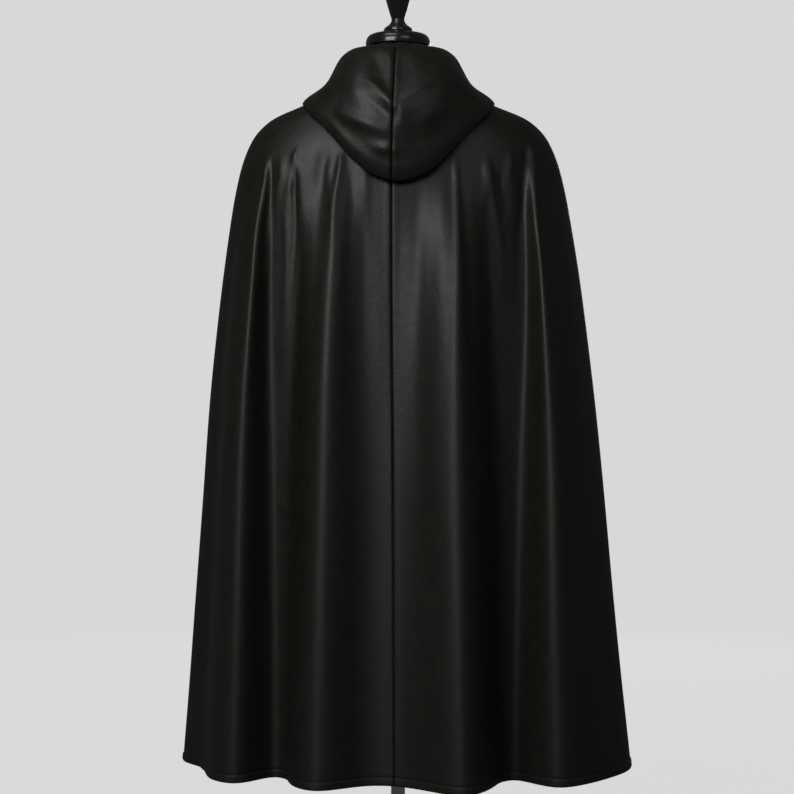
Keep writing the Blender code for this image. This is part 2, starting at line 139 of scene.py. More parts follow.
steel, steel_shader = new_material("polished_steel_tube", "#d5d5d3", 0.24, 1.0)
place = add_node(steel, "ShaderNodeTexCoord", {})
lengthwise = add_node(steel, "ShaderNodeMapping", {"Vector": place.outputs["Object"], "Scale": (1.0, 1.0, 0.01)})
scratches = add_node(steel, "ShaderNodeTexNoise", {"Vector": lengthwise.outputs["Vector"], "Scale": 700.0})
polish = add_node(steel, "ShaderNodeMapRange", {"Value": scratches.outputs["Fac"], "To Min": 0.18, "To Max": 0.34})
steel.node_tree.links.new(polish.outputs["Result"], steel_shader.inputs["Roughness"])

BASE_PROFILE = [(0.0205, 0.0400), (0.0236, 0.0388), (0.0248, 0.0360), (0.0262, 0.0210), (0.0320, 0.0163),
                (0.0700, 0.0142), (0.1300, 0.0120), (0.1900, 0.0090), (0.1980, 0.0076), (0.2000, 0.0050),
                (0.1999, 0.0010), (0.1990, 0.0000)]
PLATE_TOP = 0.7397
PLATE_LOW = 0.7317
turned("stand_base", BASE_PROFILE, powder_coat, "black_metal", "base", points=90, sides=128)
turned("stand_pole", [(0.0122, 0.7314), (0.0125, 0.7310), (0.0125, 0.0407), (0.0122, 0.0403)],
       steel, "bright_steel", "pole", points=40, sides=48)
turned("stand_flange", [(0.0490, PLATE_TOP), (0.0500, 0.7387), (0.0500, 0.7327), (0.0490, PLATE_LOW)],
       powder_coat, "black_metal", "torso_plate", points=16, sides=72)


# The torso: a padded limbless form covered in black cotton jersey, stretched smooth and closed under the
# neck cap. The knit's fine wales give a soft matte bloom; they are drawn 2 mm apart so that they show.

jersey, jersey_shader = new_material("black_cotton_jersey", "#191919", 0.92)
jersey_shader.inputs["Sheen Weight"].default_value = 0.25
jersey_shader.inputs["Sheen Roughness"].default_value = 0.4
WALE = 0.002
place = add_node(jersey, "ShaderNodeTexCoord", {})
wales = add_node(jersey, "ShaderNodeTexWave", {"Vector": place.outputs["Object"], "Scale": 1 / WALE / 3.2,
                                               "Distortion": 1.2, "Detail": 2.0, "Detail Scale": 6.0})
knit_bump = add_node(jersey, "ShaderNodeBump", {"Height": wales.outputs["Fac"], "Strength": 0.35,
                                                "Distance": 0.0004})
jersey.node_tree.links.new(knit_bump.outputs["Normal"], jersey_shader.inputs["Normal"])

torso_cage = bmesh.new()
torso_cage.from_mesh(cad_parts["dress_form"].data)
bmesh.ops.remove_doubles(torso_cage, verts=torso_cage.verts, dist=1e-6)
torso = finish_piece("torso", torso_cage, jersey, "black_jersey", "dress_form")
torso_smooth = torso.modifiers.new("padding", "SUBSURF")
torso_smooth.levels = torso_smooth.render_levels = 1


# The neck cap and the finial: turned beech under black lacquer. The lacquer is glossy and thin, so the
# edges of the turning catch small bright rings.

lacquer, lacquer_shader = new_material("black_lacquered_beech", "#141414", 0.24)
lacquer_shader.inputs["Coat Weight"].default_value = 1.0
lacquer_shader.inputs["Coat Roughness"].default_value = 0.12
place = add_node(lacquer, "ShaderNodeTexCoord", {})
drag = add_node(lacquer, "ShaderNodeTexNoise", {"Vector": place.outputs["Object"], "Scale": 60.0, "Detail": 3.0})
lacquer_gloss = add_node(lacquer, "ShaderNodeMapRange", {"Value": drag.outputs["Fac"], "To Min": 0.2,
                                                         "To Max": 0.3})
lacquer.node_tree.links.new(lacquer_gloss.outputs["Result"], lacquer_shader.inputs["Roughness"])

CAP_PROFILE = [(0.0300, 1.5295), (0.0430, 1.5280), (0.0510, 1.5252), (0.0550, 1.5212), (0.0569, 1.5170),
               (0.0580, 1.5115), (0.0580, 1.5075), (0.0572, 1.5058)]
FINIAL_PROFILE = [(0.0022, 1.6750), (0.0052, 1.6725), (0.0068, 1.6675), (0.0060, 1.6620), (0.0075, 1.6570),
                  (0.0135, 1.6490), (0.0200, 1.6385), (0.0242, 1.6250), (0.0250, 1.6120), (0.0240, 1.6000),
                  (0.0218, 1.5896), (0.0195, 1.5806), (0.0168, 1.5716), (0.0142, 1.5626), (0.0120, 1.5560),
                  (0.0117, 1.5530), (0.0134, 1.5484), (0.0172, 1.5438), (0.0224, 1.5400), (0.0253, 1.5368),
                  (0.0259, 1.5340), (0.0252, 1.5298)]
turned("cap_of_neck", CAP_PROFILE, lacquer, "black_lacquered_wood", "neck_cap", points=60, sides=128)
turned("turned_finial", FINIAL_PROFILE, lacquer, "black_lacquered_wood", "finial", points=140, sides=96)


# The cloak: four full-length panels of smooth black cowhide, about 1.2 mm thick, sewn at the centre back,
# the sides and the shoulders. It hangs from the shoulders in long soft folds down to a turned hem.

HEM_Z = 0.224
LEATHER = 0.0016
BACK_SEAM, SIDE_SEAM, FRONT_EDGE = 1.4, 92.0, 179.5
SQUARENESS = 2.3
Ring = namedtuple("Ring", "name z_side z_back z_front left right back front")
RINGS = [
    Ring("neckline",   1.442, 1.455, 1.414, 0.068, 0.068, 0.068, 0.076),
    Ring("nape",       1.428, 1.437, 1.399, 0.100, 0.100, 0.082, 0.090),
    Ring("shoulder",   1.3945, 1.398, 1.370, 0.175, 0.177, 0.107, 0.112),
    Ring("tip",        1.371, 1.354, 1.338, 0.2275, 0.2335, 0.124, 0.127),
    Ring("cap",        1.336, 1.316, 1.303, 0.261, 0.2685, 0.133, 0.137),
    Ring("upper_arm",  1.275, 1.262, 1.250, 0.284, 0.2925, 0.143, 0.148),
    Ring("chest",      1.158, 1.152, 1.146, 0.3045, 0.315, 0.160, 0.163),
    Ring("waist",      0.870, 0.870, 0.870, 0.338, 0.3507, 0.204, 0.196),
    Ring("hip",        0.510, 0.510, 0.510, 0.3655, 0.384, 0.258, 0.236),
    Ring("hem",        HEM_Z, HEM_Z, HEM_Z, 0.388, 0.413, 0.300, 0.264),
]
Fold = namedtuple("Fold", "name angle start_z hem_x hem_y")
FOLDS = [
    Fold("right_front_edge",   -179.5, 1.340, -0.038, -0.262),
    Fold("right_front_valley", -169.0, 1.220, -0.092, -0.205),
    Fold("right_front_crest",  -157.0, 1.240, -0.140, -0.292),
    Fold("right_chest_valley", -141.0, 1.250, -0.222, -0.182),
    Fold("right_chest_crest",  -125.0, 1.270, -0.302, -0.238),
    Fold("right_arm_valley",   -109.0, 1.230, -0.372, -0.092),
    Fold("right_side",          -92.0, 1.200, -0.413, 0.045),
    Fold("right_blade_slope",   -72.0, 1.240, -0.378, 0.176),
    Fold("right_blade_crest",   -51.5, 1.310, -0.265, 0.310),
    Fold("right_blade_valley",  -44.0, 1.290, -0.207, 0.223),
    Fold("right_back_foot",     -28.0, 1.270, -0.172, 0.246),
    Fold("right_back_flank",    -21.0, 1.270, -0.150, 0.322),
    Fold("right_back_crest",    -16.0, 1.260, -0.117, 0.386),
    Fold("right_back_rise",      -3.0, 1.230, -0.021, 0.303),
    Fold("back_seam",             1.4, 1.230, 0.009, 0.281),
    Fold("left_back_valley",      8.5, 1.250, 0.048, 0.278),
    Fold("left_back_crest",      19.0, 1.290, 0.139, 0.340),
    Fold("left_back_flank",      25.0, 1.270, 0.177, 0.288),
    Fold("left_back_foot",       32.0, 1.270, 0.186, 0.222),
    Fold("left_blade_valley",    45.0, 1.290, 0.214, 0.190),
    Fold("left_blade_crest",     55.0, 1.305, 0.277, 0.266),
    Fold("left_blade_flank",     64.0, 1.260, 0.325, 0.206),
    Fold("left_blade_foot",      73.0, 1.240, 0.340, 0.104),
    Fold("left_side",            92.0, 1.200, 0.387, -0.002),
    Fold("left_arm_valley",     108.0, 1.230, 0.345, -0.118),
    Fold("left_chest_crest",    123.0, 1.270, 0.296, -0.240),
    Fold("left_chest_valley",   139.0, 1.250, 0.212, -0.176),
    Fold("left_front_crest",    155.0, 1.240, 0.150, -0.288),
    Fold("left_front_valley",   168.0, 1.220, 0.100, -0.208),
    Fold("left_front_edge",     179.5, 1.340, 0.042, -0.260),
]
FOLD_ROUNDING = 0.04
FOLD_EASE = 0.45

runs = [hypot(low.left - top.left, low.z_side - top.z_side) for top, low in zip(RINGS, RINGS[1:])]
RING_DROPS = np.concatenate([[0.0], np.cumsum(runs)])
HEM_DROP = RING_DROPS[-1]
FOLD_ANGLES = np.array([fold.angle for fold in FOLDS])
FOLD_STARTS = np.array([fold.start_z for fold in FOLDS])


def oval(angle, left, right, back, front):
    """The place on a section, and how far it lies towards the back or front, from 0 to 1."""
    s, c = np.sin(np.radians(angle)), np.cos(np.radians(angle))
    across = np.sign(s) * np.abs(s) ** (2 / SQUARENESS)
    along = np.sign(c) * np.abs(c) ** (2 / SQUARENESS)
    return across * np.where(s > 0, left, right), along * np.where(c > 0, back, front), along * along


def bare_cloth(angle, drop):
    """The cloak without its folds, drop metres down from the neckline."""
    size = {key: smooth_curve(RING_DROPS, [getattr(ring, key) for ring in RINGS], drop)
            for key in Ring._fields[1:]}
    x, y, end = oval(angle, size["left"], size["right"], size["back"], size["front"])
    z_end = np.where(y > 0, size["z_back"], size["z_front"])
    return np.stack([x, y, size["z_side"] + (z_end - size["z_side"]) * end], axis=-1)


hem_places = np.array([(fold.hem_x, fold.hem_y, HEM_Z) for fold in FOLDS])
FOLD_SHIFTS = hem_places - bare_cloth(FOLD_ANGLES, HEM_DROP)


def fold_shift(line, z):
    """How far a fold's line has moved from the bare cloth at height z, across and in depth."""
    fallen = np.maximum((FOLD_STARTS[line] - z) / (FOLD_STARTS[line] - HEM_Z), 0)
    sideways = fallen ** 2 * (1 + FOLD_ROUNDING) / (fallen + FOLD_ROUNDING)
    depth = sideways * (1 + FOLD_EASE) / (fallen + FOLD_EASE)
    return FOLD_SHIFTS[line, :2] * np.stack([sideways, depth], axis=-1)


def folded_cloth(angle, drop):
    """The cloak's outer face with its large folds, smooth from one fold's line to the next."""
    point = bare_cloth(angle, drop)
    last = len(FOLDS) - 1
    k = np.clip(np.searchsorted(FOLD_ANGLES, angle, side="right") - 1, 0, last - 1)
    lines = [np.clip(k + step, 0, last) for step in (-1, 0, 1, 2)]
    shifts = [fold_shift(line, point[..., 2]) for line in lines]
    span = (FOLD_ANGLES[lines[2]] - FOLD_ANGLES[lines[1]])[..., None]
    slopes = []
    for first in (0, 1, 2):
        gap = (FOLD_ANGLES[lines[first + 1]] - FOLD_ANGLES[lines[first]])[..., None]
        rise = (shifts[first + 1] - shifts[first]) / np.where(gap > 0, gap, 1)
        slopes.append(np.where(gap > 0, rise, (shifts[2] - shifts[1]) / span))
    leave, arrive = [np.where(a * b > 0, 2 * a * b / np.where(a * b > 0, a + b, 1), 0)
                     for a, b in zip(slopes, slopes[1:])]
    t = (np.asarray(angle) - FOLD_ANGLES[k])[..., None] / span
    point[..., :2] += (shifts[1] * (1 + 2 * t) * (1 - t) ** 2 + shifts[2] * t * t * (3 - 2 * t)
                       + span * (leave * t * (1 - t) ** 2 - arrive * t * t * (1 - t)))
    return point


def ramp(value, low, high):
    t = np.clip((value - low) / (high - low), 0, 1)
    return t * t * (3 - 2 * t)


FOLD_ROUND = 2.8          # degrees either side over which the stiff leather rounds its crests at the hem
ROUND_FROM_Z, ROUND_FULL_Z = 1.22, 0.72
EDGE_KEEP = 2.2           # how many reaches a front edge stays away from the rounding


def rounded_cloth(angle, drop):
    """The folded cloth with its crests and valleys rounded, more so the lower they are."""
    height = folded_cloth(angle, drop)[..., 2]
    reach = FOLD_ROUND * ramp(-height, -ROUND_FROM_Z, -ROUND_FULL_Z)
    reach = np.minimum(reach, (FRONT_EDGE - np.abs(angle)) / EDGE_KEEP)
    total, weights = 0, 0
    for offset in np.linspace(-2, 2, 7):
        weight = np.exp(-offset * offset / 2)
        total = total + weight * folded_cloth(angle + offset * reach, drop)
        weights += weight
    return total / weights


# The smaller creases of the hanging leather: where each starts and ends on the back or the front of the
# cloak, its half width, its height, and the share of its length over which it rises from nothing. A ridge
# stands out and a trough has a height below 0. The short ones gather where the shoulders end.
Crease = namedtuple("Crease", "name face top_x top_z low_x low_z width height rise")
CREASES = [
    Crease("left_point_ridge",      1, 0.2295, 1.305, 0.2640, 1.020, 0.0075, 0.0027, 0.10),
    Crease("left_point_trough",     1, 0.2240, 1.300, 0.2350, 1.000, 0.0075, -0.0034, 0.12),
    Crease("left_outer_edge",       1, 0.2729, 1.150, 0.4010, -0.600, 0.0042, 0.0022, 0.50),
    Crease("left_blade_nub",        1, 0.2040, 1.305, 0.2130, 1.180, 0.0080, 0.0022, 0.25),
    Crease("left_blade_peak",       1, 0.1745, 1.314, 0.1970, 1.200, 0.0070, 0.0028, 0.15),
    Crease("left_blade_ridge",      1, 0.1945, 1.240, 0.1985, 0.800, 0.0080, 0.0012, 0.20),
    Crease("left_blade_trough",     1, 0.1775, 1.300, 0.1880, 0.960, 0.0072, -0.0040, 0.12),
    Crease("left_inner_ridge",      1, 0.1640, 1.290, 0.1560, 0.850, 0.0100, 0.0010, 0.20),
    Crease("left_twin_ridge",       1, 0.1180, 1.300, 0.1210, 1.190, 0.0070, 0.0011, 0.20),
    Crease("left_main_hollow",      1, 0.1310, 1.320, 0.1400, 0.950, 0.0170, -0.0036, 0.10),
    Crease("left_main_ridge",       1, 0.1010, 1.304, 0.1210, 1.050, 0.0080, 0.0042, 0.08),
    Crease("left_main_trough",      1, 0.0850, 1.300, 0.0790, 0.850, 0.0110, -0.0022, 0.15),
    Crease("left_plateau_top",      1, 0.0625, 1.310, 0.0500, 1.100, 0.0100, 0.0018, 0.20),
    Crease("left_plateau",          1, 0.0300, 1.220, 0.0200, 0.400, 0.0160, 0.0008, 0.30),
    Crease("seam_side_trough",      1, -0.0360, 1.290, -0.0300, 0.350, 0.0150, -0.0018, 0.20),
    Crease("right_plateau_ridge",   1, -0.0760, 1.300, -0.0600, 0.450, 0.0140, 0.0010, 0.15),
    Crease("right_main_ridge",      1, -0.1020, 1.305, -0.0990, 0.700, 0.0075, 0.0026, 0.08),
    Crease("right_main_trough",     1, -0.1150, 1.270, -0.1300, 0.600, 0.0120, -0.0020, 0.20),
    Crease("right_blade_nub",       1, -0.1590, 1.300, -0.1450, 1.180, 0.0080, 0.0028, 0.20),
    Crease("right_blade_ridge",     1, -0.1600, 1.296, -0.1900, 1.000, 0.0080, 0.0030, 0.12),
    Crease("right_blade_trough",    1, -0.1800, 1.275, -0.1880, 1.170, 0.0060, -0.0020, 0.20),
    Crease("right_slope_ridge",     1, -0.1975, 1.308, -0.1985, 1.190, 0.0080, 0.0026, 0.20),
    Crease("right_point_trough",    1, -0.2240, 1.318, -0.2040, 0.950, 0.0095, -0.0034, 0.06),
    Crease("right_point_ridge",     1, -0.2340, 1.326, -0.2500, 1.020, 0.0075, 0.0034, 0.06),
    Crease("right_arm_trough",      1, -0.2470, 1.270, -0.2520, 1.050, 0.0080, -0.0014, 0.20),
    Crease("right_arm_ridge",       1, -0.2880, 1.240, -0.3400, 0.450, 0.0120, 0.0014, 0.30),
    Crease("front_edge_ridge_left",  -1, 0.0520, 1.290, 0.0640, 0.500, 0.0120, 0.0024, 0.15),
    Crease("front_trough_left",      -1, 0.1180, 1.270, 0.1300, 0.560, 0.0100, -0.0022, 0.20),
    Crease("chest_ridge_left",       -1, 0.1760, 1.300, 0.1820, 0.860, 0.0070, 0.0032, 0.10),
    Crease("chest_trough_left",      -1, 0.1640, 1.290, 0.1680, 1.020, 0.0065, -0.0028, 0.12),
    Crease("chest_point_left",       -1, 0.2300, 1.295, 0.2480, 0.980, 0.0060, 0.0034, 0.10),
    Crease("chest_outer_left",       -1, 0.2600, 1.240, 0.3150, 0.350, 0.0110, 0.0016, 0.25),
    Crease("front_edge_ridge_right", -1, -0.0460, 1.280, -0.0580, 0.420, 0.0120, 0.0022, 0.15),
    Crease("front_trough_right",     -1, -0.1040, 1.290, -0.1120, 0.600, 0.0100, -0.0022, 0.18),
    Crease("chest_ridge_right",      -1, -0.1680, 1.300, -0.1860, 0.780, 0.0075, 0.0030, 0.10),
    Crease("chest_trough_right",     -1, -0.1800, 1.285, -0.2000, 0.980, 0.0070, -0.0030, 0.12),
    Crease("chest_point_right",      -1, -0.2360, 1.290, -0.2620, 0.900, 0.0065, 0.0032, 0.10),
    Crease("chest_outer_right",      -1, -0.2700, 1.230, -0.3280, 0.400, 0.0110, 0.0014, 0.25),
]
CREASE_SWAY = 0.0025      # how far a crease strays from its straight line
SLACK = 0.0009            # how uneven the leather lies between the creases
SLACK_SIZE = 0.070
SLACK_STRETCH = 0.35      # it changes this much as fast down the cloth as across it
CALM_Z, CALM_RUN = 1.36, 0.15      # the leather is pulled smooth on the shoulders, up to this height


def crease_height(points):
    """How far the creases and the slack of the leather move each point out."""
    x, y, z = points[..., 0], points[..., 1], points[..., 2]
    height = np.zeros(x.shape)
    for crease in CREASES:
        t = np.clip((crease.top_z - z) / (crease.top_z - crease.low_z), 0, 1)
        centre = crease.top_x + (crease.low_x - crease.top_x) * t
        centre = centre + CREASE_SWAY * np.sin(9 * t + 40 * crease.top_x)
        strength = ramp(t, 0, crease.rise) * (1 - ramp(t, crease.rise, 1))
        width = crease.width * (0.75 + 0.5 * t)
        shown = crease.height * strength * np.exp(-((x - centre) / width) ** 2)
        height += np.where(y * crease.face > 0, shown, 0)
    stretched = points * np.array([1, 1, SLACK_STRETCH]) / SLACK_SIZE
    uneven = [noise.noise(Vector(place)) for place in stretched.reshape(-1, 3)]
    calm = np.clip((CALM_Z - z) / CALM_RUN, 0.2, 1)
    return height + SLACK * calm * np.reshape(uneven, x.shape)


def outward(points):
    """The outward normals of a grid of points, rows from the top down, columns towards the wearer's left."""
    down, across = np.gradient(points, axis=0), np.gradient(points, axis=1)
    normal = np.cross(across, down)
    return normal / np.maximum(np.linalg.norm(normal, axis=-1, keepdims=True), 1e-12)


def from_edge(points):
    """How far each point of a grid is from the first column's edge, and from the last one's."""
    steps = np.linalg.norm(np.diff(points, axis=1), axis=-1)
    along = np.concatenate([np.zeros((len(points), 1)), np.cumsum(steps, axis=1)], axis=1)
    return along, along[:, -1:] - along


SEAM_DIP, SEAM_DIP_WIDTH = 0.0026, 0.0016
ALLOWANCE_RISE, ALLOWANCE_FROM, ALLOWANCE_TO = 0.0005, 0.009, 0.013


def sewn_edge(distance):
    """The rounded groove of a plain seam, over the allowances that lie pressed open under it."""
    groove = SEAM_DIP * np.exp(-(distance / SEAM_DIP_WIDTH) ** 2)
    return ALLOWANCE_RISE * (1 - ramp(distance, ALLOWANCE_FROM, ALLOWANCE_TO)) - groove


SEAM_OFFSETS = [0.0, 0.12, 0.26, 0.42, 0.62, 0.88, 1.2, 1.6]
HEM_STITCH_LINE = 0.0090
HEM_OFFSETS = [0.0, 0.0006, 0.0014, 0.0030, 0.0060, HEM_STITCH_LINE, 0.0108, 0.0118, 0.0128, 0.0138, 0.0150,
               0.0170, 0.020]
ABOVE_HEM_ROWS = 0.024
HEM_BAND = 0.0125         # height of the turned hem, whose second layer stands out and dips above its edge
HEM_RISE, HEM_DIP, HEM_SOFT = 0.0017, 0.0012, 0.0012
CUT_EDGE_DIP, CUT_EDGE_WIDTH = 0.0008, 0.0012
SEAM_PRESS = 0.0001       # how far each sewn edge presses into the other, so that no light comes through
COLUMN_STEP = 0.62
ROW_STEP = 0.0075
GHOST_STEP = 0.3


def panel_surface(first, last, seam_first, seam_last):
    """The grid of a panel's outer face, with its creases, seams and hem."""
    middle = np.arange(first + SEAM_OFFSETS[-1], last - SEAM_OFFSETS[-1], COLUMN_STEP)[1:]
    angles = [first + o for o in SEAM_OFFSETS] + list(middle) + [last - o for o in SEAM_OFFSETS[::-1]]
    rows = int(HEM_DROP / ROW_STEP)
    drops = list(np.linspace(0, HEM_DROP - ABOVE_HEM_ROWS, rows)) + [HEM_DROP - o for o in HEM_OFFSETS[::-1]]
    angle_grid, drop_grid = np.meshgrid(angles, drops)
    points = rounded_cloth(angle_grid, drop_grid)
    ghost = [max(angles[0] - GHOST_STEP, -FRONT_EDGE), *angles, min(angles[-1] + GHOST_STEP, FRONT_EDGE)]
    normals = outward(rounded_cloth(*np.meshgrid(ghost, drops)))[:, 1:-1]
    height = crease_height(points)
    from_first, from_last = from_edge(points)
    for distance, sewn in ((from_first, seam_first), (from_last, seam_last)):
        height += sewn_edge(distance) if sewn else -CUT_EDGE_DIP * np.exp(-(distance / CUT_EDGE_WIDTH) ** 2)
    above_hem = HEM_DROP - drop_grid
    height += HEM_RISE * (1 - ramp(above_hem, HEM_BAND - HEM_SOFT, HEM_BAND + HEM_SOFT))
    height -= HEM_DIP * np.exp(-((above_hem - HEM_BAND - HEM_SOFT) / HEM_SOFT) ** 2)
    height -= HEM_DIP * np.exp(-(above_hem / HEM_SOFT) ** 2)
    sideways = np.gradient(points, axis=1)
    sideways /= np.linalg.norm(sideways, axis=-1, keepdims=True)
    points = points + normals * height[..., None]
    points[:, 0] -= sideways[:, 0] * SEAM_PRESS
    points[:, -1] += sideways[:, -1] * SEAM_PRESS
    return points


def cloth_piece(name, points, material, slot, node):
    """A wall of leather on a grid of points, its thickness on the inner side."""
    rows, columns = points.shape[0] - 1, points.shape[1] - 1
    cloth = bmesh.new()
    bmesh.ops.create_grid(cloth, x_segments=columns, y_segments=rows, size=0.5)
    for vert in cloth.verts:
        vert.co = points[round((vert.co.y + 0.5) * rows), round((vert.co.x + 0.5) * columns)]
    piece = finish_piece(name, cloth, material, slot, node)
    wall = piece.modifiers.new("leather", "SOLIDIFY")
    wall.thickness = LEATHER
    wall.offset = -1
    return piece


# Smooth aniline-dyed cowhide, rolled and lightly waxed: a near-black, slightly warm surface with a broad soft
# sheen. Its pores are under 0.3 mm, so the grain is drawn 3.2 mm across, and it lies in faint 12 mm waves. The
# hide's unevenness of 25 mm shifts the gloss, and handling has polished the shoulders and the hood.
BLOTCH, WAVE, PORE = 0.025, 0.012, 0.0032
cowhide, hide_shader = new_material("black_waxed_cowhide", "#171710", 0.52)
place = add_node(cowhide, "ShaderNodeTexCoord", {})
blotch = add_node(cowhide, "ShaderNodeTexNoise", {"Vector": place.outputs["Object"], "Scale": 1 / BLOTCH,
                                                  "Detail": 4.0, "Roughness": 0.6})
tone = add_node(cowhide, "ShaderNodeValToRGB", {"Fac": blotch.outputs["Fac"]})
for stop, position, shade in zip(tone.color_ramp.elements, (0.3, 0.7), ("#14140e", "#1b1b13")):
    stop.position = position
    stop.color = linear(shade)
up_the_cloak = add_node(cowhide, "ShaderNodeSeparateXYZ", {"Vector": place.outputs["Object"]})
handled = add_node(cowhide, "ShaderNodeMapRange", {"Value": up_the_cloak.outputs["Z"], "From Min": 0.35,
                                                   "From Max": 1.45, "To Min": 0.55, "To Max": 0.33})
gloss = add_node(cowhide, "ShaderNodeMath", {0: blotch.outputs["Fac"], 1: 0.16, 2: handled.outputs["Result"]},
                 operation="MULTIPLY_ADD")
pores = add_node(cowhide, "ShaderNodeTexVoronoi", {"Vector": place.outputs["Object"], "Scale": 1 / PORE},
                 feature="SMOOTH_F1")
waves = add_node(cowhide, "ShaderNodeTexNoise", {"Vector": place.outputs["Object"], "Scale": 1 / WAVE,
                                                 "Detail": 3.0})
grain = add_node(cowhide, "ShaderNodeBump", {"Height": pores.outputs["Distance"], "Strength": 0.24,
                                             "Distance": 0.0006})
lie = add_node(cowhide, "ShaderNodeBump", {"Height": waves.outputs["Fac"], "Strength": 0.08, "Distance": 0.004,
                                           "Normal": grain.outputs["Normal"]})
cowhide.node_tree.links.new(tone.outputs["Color"], hide_shader.inputs["Base Color"])
cowhide.node_tree.links.new(gloss.outputs["Value"], hide_shader.inputs["Roughness"])
cowhide.node_tree.links.new(lie.outputs["Normal"], hide_shader.inputs["Normal"])

Panel = namedtuple("Panel", "name node first last seam_first seam_last width length area")
PANELS = [
    Panel("back_panel_left", "back_left", BACK_SEAM, SIDE_SEAM, True, True, 0.95, 1.30, 0.66),
    Panel("back_panel_right", "back_right", -SIDE_SEAM, BACK_SEAM, True, True, 1.00, 1.30, 0.71),
    Panel("front_panel_left", "front_left", SIDE_SEAM, FRONT_EDGE, True, False, 0.85, 1.25, 0.61),
    Panel("front_panel_right", "front_right", -FRONT_EDGE, -SIDE_SEAM, False, True, 0.90, 1.25, 0.65),
]
panel_grids = {}
for panel in PANELS:
    panel_grids[panel.name] = panel_surface(panel.first, panel.last, panel.seam_first, panel.seam_last)
    piece = cloth_piece(panel.name, panel_grids[panel.name], cowhide, "black_leather", panel.node)


# The hood: two halves of the same leather, sewn from the face edge over the head to the nape. It is down,
# so it lies doubled on the back, its outer layer standing up behind the neck to the turned face edge.

Station = namedtuple("Station", "angle fold_z bag rim_reach rim_z belly neck")
STATIONS = [
    Station(0,    1.260, 0.024, 0.089, 1.493, 0.036, 0.022),
    Station(7,    1.273, 0.024, 0.089, 1.493, 0.035, 0.022),
    Station(14,   1.301, 0.022, 0.088, 1.494, 0.031, 0.020),
    Station(24,   1.340, 0.019, 0.086, 1.495, 0.022, 0.016),
    Station(36,   1.366, 0.015, 0.084, 1.496, 0.011, 0.013),
    Station(55,   1.387, 0.006, 0.080, 1.497, -0.003, 0.010),
    Station(85,   1.400, 0.005, 0.078, 1.499, -0.009, 0.006),
    Station(115,  1.391, 0.007, 0.080, 1.482, -0.010, 0.002),
    Station(145,  1.367, 0.010, 0.086, 1.450, 0.002, 0.004),
    Station(165,  1.368, 0.010, 0.092, 1.430, 0.005, 0.004),
    Station(178,  1.382, 0.009, 0.096, 1.420, 0.004, 0.003),
]
HOOD_EDGE = 178.0
HOOD_SLACK, HOOD_SLACK_SIZE = 0.0008, 0.045
HOOD_LIFT = 0.0026
LAY_GAP = 0.0006
HOOD_TURN_IN, HOOD_TURN_DOWN = 0.006, 0.010
BELLY_AT, NECK_AT = 0.36, 0.78
OUTER_UP, TIP_OUT, TIP_DOWN = 0.4, 0.42, 0.6       # shares of the bag's thickness at its round lower fold
RIM_SHARE, BAG_SHARE = 0.06, 0.82
OUTER_SHARES = np.concatenate([np.linspace(0, RIM_SHARE, 8)[:-1], np.linspace(RIM_SHARE, BAG_SHARE, 60)[:-1],
                               np.linspace(BAG_SHARE, 1, 26)])
UNDER_SHARES = np.linspace(1, 0, 25)[1:]

# The soft folds of the hood's back, as it lies: where each starts and ends across and in height, its half
# width, and its height, below 0 for a trough. They run down to the seam, and those on the right are fainter.
HoodFold = namedtuple("HoodFold", "name top_x top_z low_x low_z width height")
HOOD_FOLDS = [
    HoodFold("neck_puff",          0.015, 1.488, 0.014, 1.436, 0.0085, 0.0034),
    HoodFold("neck_dip",           0.038, 1.474, 0.032, 1.436, 0.0120, -0.0024),
    HoodFold("upper_ridge",        0.048, 1.420, 0.009, 1.379, 0.0080, 0.0054),
    HoodFold("upper_dip",          0.062, 1.398, 0.014, 1.360, 0.0095, -0.0034),
    HoodFold("middle_ridge",       0.096, 1.366, 0.026, 1.335, 0.0125, 0.0046),
    HoodFold("lower_dip",          0.098, 1.340, 0.050, 1.304, 0.0130, -0.0010),
    HoodFold("lower_puff",         0.034, 1.306, 0.012, 1.298, 0.0100, 0.0040),
    HoodFold("upper_ridge_right",  -0.050, 1.414, -0.006, 1.383, 0.0085, 0.0034),
    HoodFold("seam_puff_right",    -0.007, 1.376, -0.007, 1.346, 0.0065, 0.0036),
    HoodFold("middle_ridge_right", -0.078, 1.376, -0.012, 1.336, 0.0140, 0.0018),
    HoodFold("lower_dip_right",    -0.090, 1.350, -0.024, 1.302, 0.0130, -0.0008),
]


def hood_fold_height(x, z):
    """How far the folds of the hood's back move a point out."""
    height = np.zeros(x.shape)
    for fold in HOOD_FOLDS:
        along_x, along_z = fold.low_x - fold.top_x, fold.low_z - fold.top_z
        t = ((x - fold.top_x) * along_x + (z - fold.top_z) * along_z) / (along_x ** 2 + along_z ** 2)
        t = np.clip(t, 0, 1)
        away = np.hypot(x - fold.top_x - t * along_x, z - fold.top_z - t * along_z)
        height += fold.height * np.exp(-(away / fold.width) ** 2) * (0.6 + 0.4 * np.sin(pi * t))
    return height


def cloth_place(angle, drop, step=0.004):
    """A point of the folded cloak, its outward normal and the way down the cloth."""
    angles = np.array([angle, angle - 1, angle + 1, angle, angle])
    drops = np.array([drop, drop, drop, drop + step, max(drop - step, 0.0)])
    point, right, left, below, above = folded_cloth(np.clip(angles, -FRONT_EDGE, FRONT_EDGE), drops)
    normal, down = np.cross(left - right, below - above), below - above
    return point, normal / np.linalg.norm(normal), down / np.linalg.norm(down)


def drop_at_height(angle, z):
    """How far down the cloth the height z lies, at this angle."""
    drops = np.linspace(0, HEM_DROP, 800)
    heights = folded_cloth(np.full(800, angle), drops)[:, 2]
    return float(np.interp(-z, -heights, drops))


